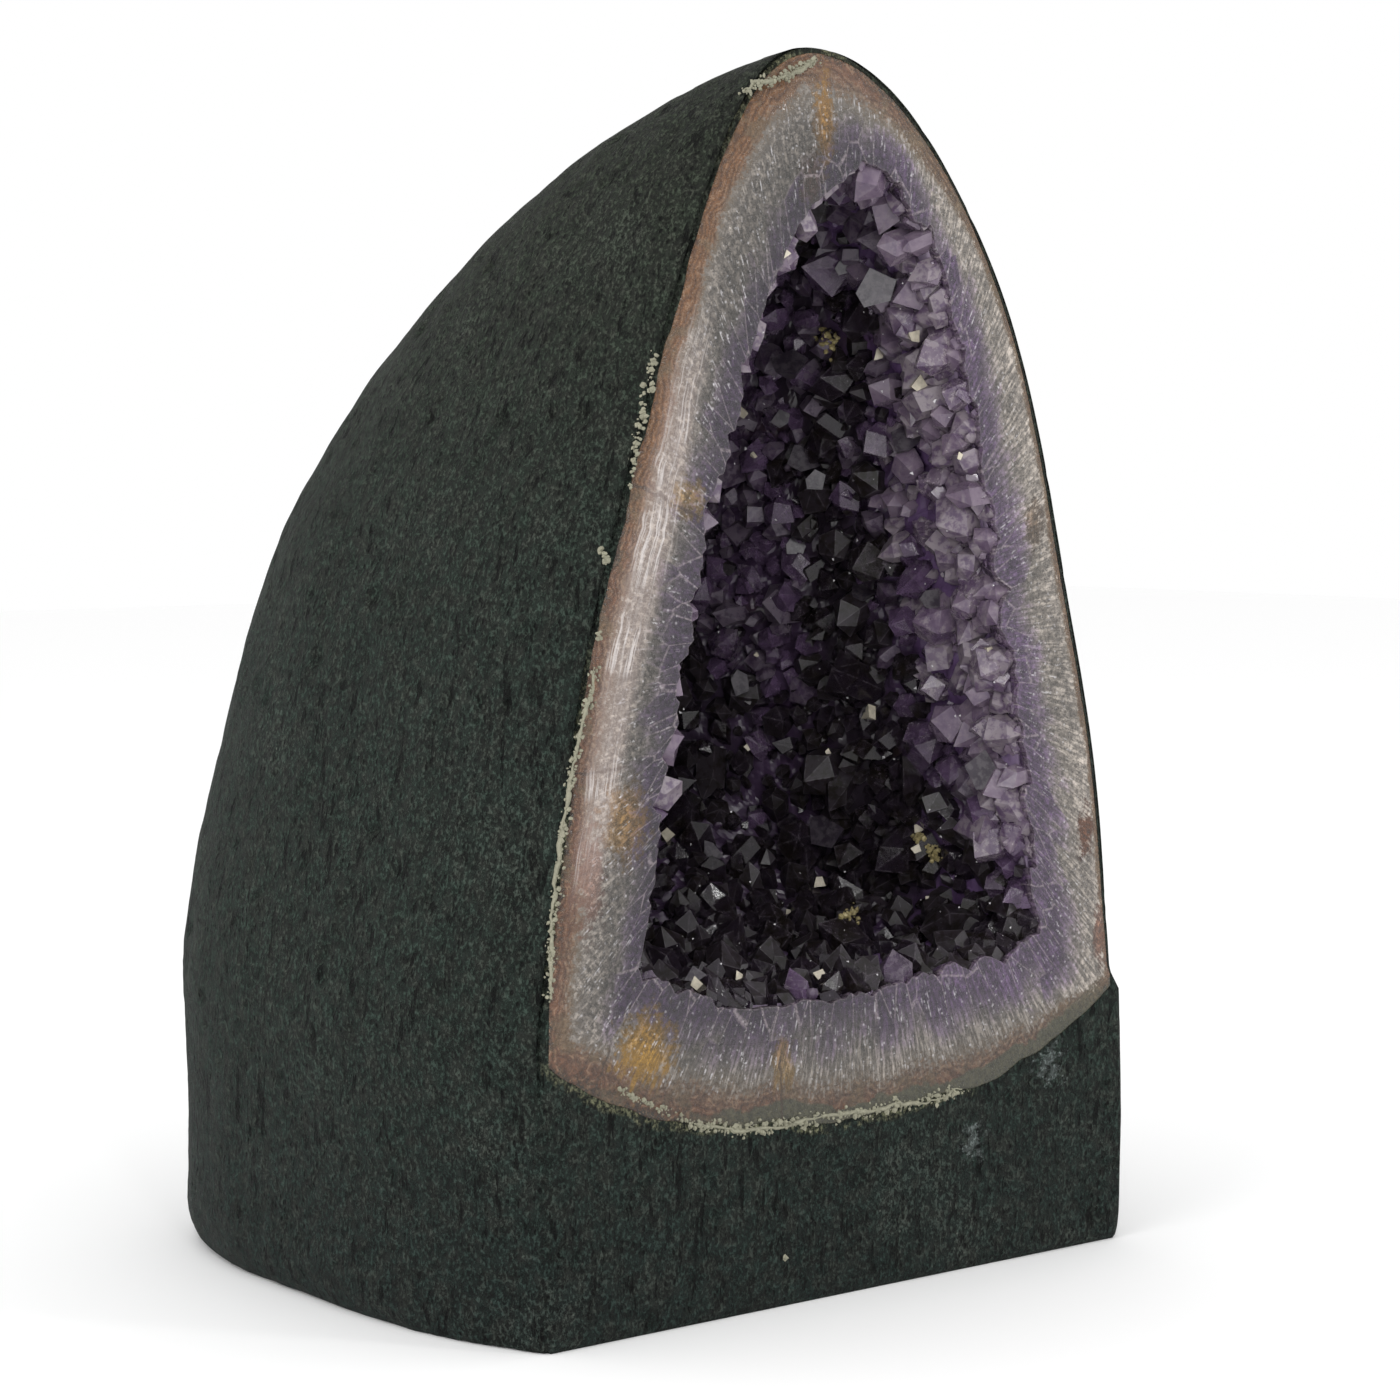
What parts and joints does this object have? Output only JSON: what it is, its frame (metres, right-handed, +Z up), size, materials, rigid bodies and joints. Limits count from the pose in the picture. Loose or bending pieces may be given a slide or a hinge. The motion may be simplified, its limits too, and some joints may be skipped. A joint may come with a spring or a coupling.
{
  "type": "amethyst cathedral geode",
  "caption": "Tall hollow amethyst geode, sawn open down the front, with a polished banded agate rim, a lining of purple quartz points, and a painted cement jacket with a flat foot.",
  "frame": {"origin": "middle of the flat foot that the geode stands on", "axes": "+Z up to the pointed tip, -Y out of the sawn face, +X to the right as the face is looked at"},
  "size_m": [0.1855, 0.1625, 0.2596],
  "materials": {
    "painted_cement": "matte dark grey-green paint over gritty cement and basalt, with small pits and upright trowel marks",
    "banded_agate": "polished agate and quartz, banded from red-brown through pinkish beige to fibrous grey-white",
    "amethyst": "clear to milky purple quartz with glossy natural crystal faces, nearly black in the deep middle"
  },
  "bodies": {
    "root": {"cement_jacket": "painted_cement", "agate_rind": "banded_agate", "amethyst_crust": "amethyst"}
  },
  "joints": []
}
